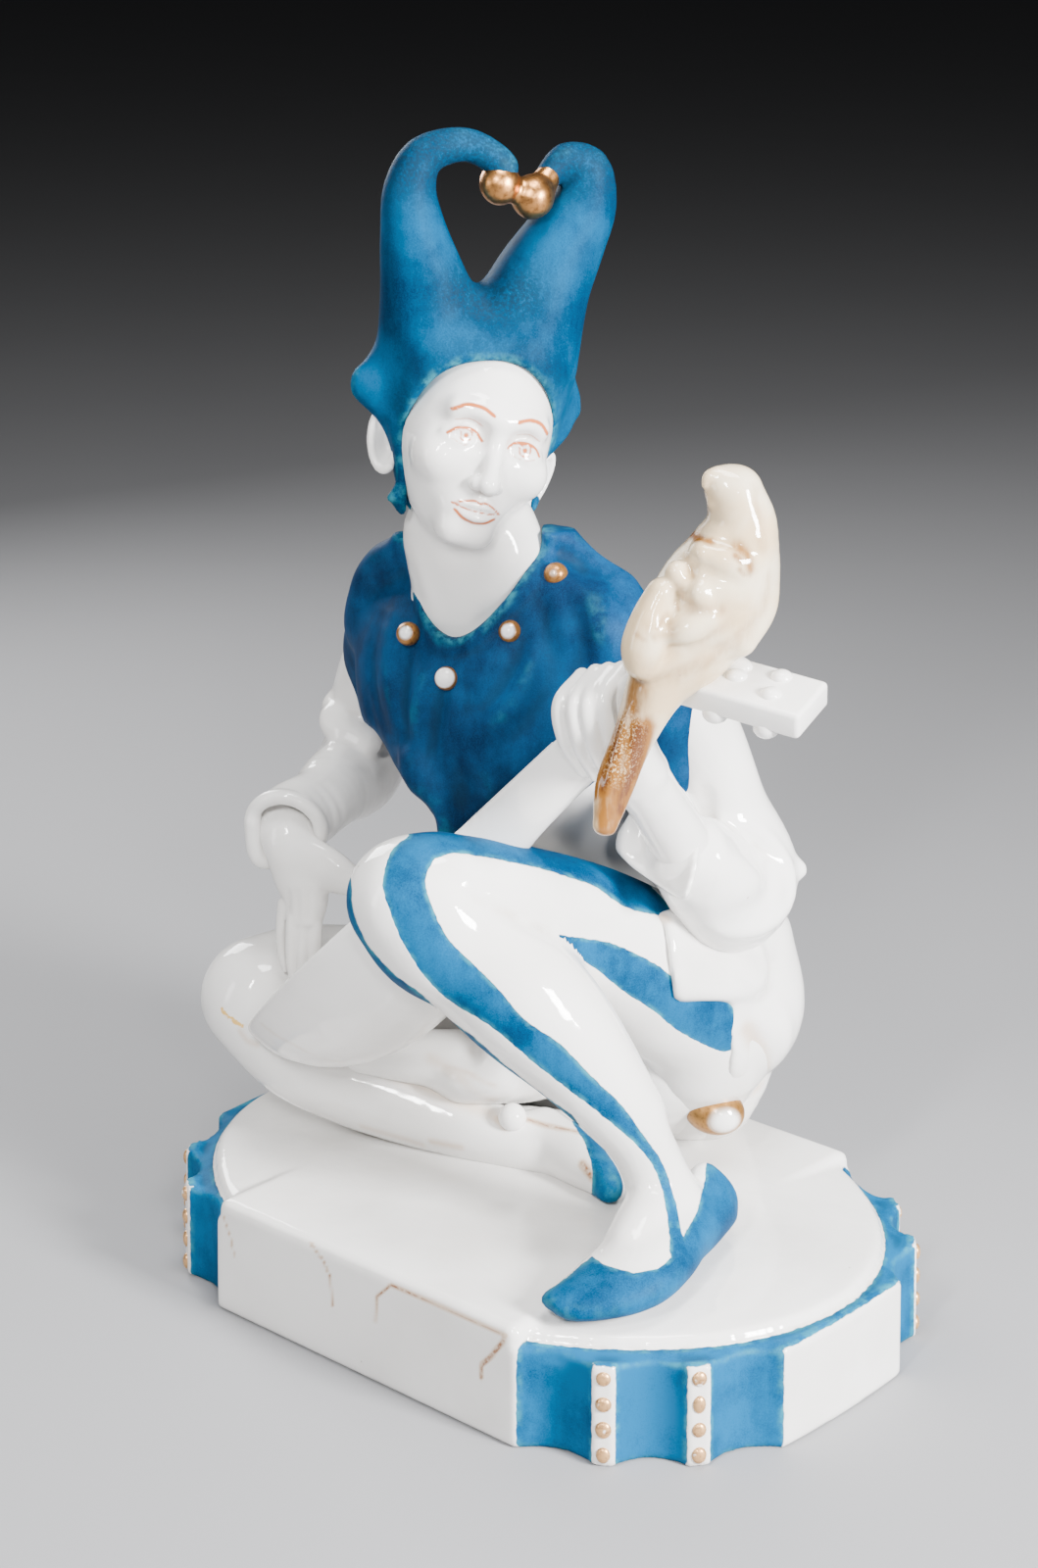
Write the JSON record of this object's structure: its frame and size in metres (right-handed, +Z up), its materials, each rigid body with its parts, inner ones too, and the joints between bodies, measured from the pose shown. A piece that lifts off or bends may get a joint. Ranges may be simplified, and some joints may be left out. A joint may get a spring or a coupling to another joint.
{
  "type": "porcelain jester figurine",
  "caption": "Glazed porcelain table figure of a seated jester in a horned cap, playing a lute with a parrot on its pegbox, on a fluted oval plinth",
  "frame": {"origin": "middle of the plinth's flat underside", "axes": "+Z up; -Y is the front of the plinth, the way the jester's chest faces; +X is to the jester's left"},
  "size_m": [0.2209, 0.153, 0.3205],
  "materials": {
    "porcelain": "glossy clear glaze over white porcelain, with matt blue, gilt and ochre painting",
    "matt_blue": "matt blue enamel, paler and greener where it is rubbed",
    "gilding": "burnished bronze-gold lustre, rubbed on the high places",
    "parrot_glaze": "glossy cream glaze, ochre in the hollows and brown on the tail"
  },
  "bodies": {
    "root": {"jester_figure": "porcelain"}
  },
  "joints": []
}
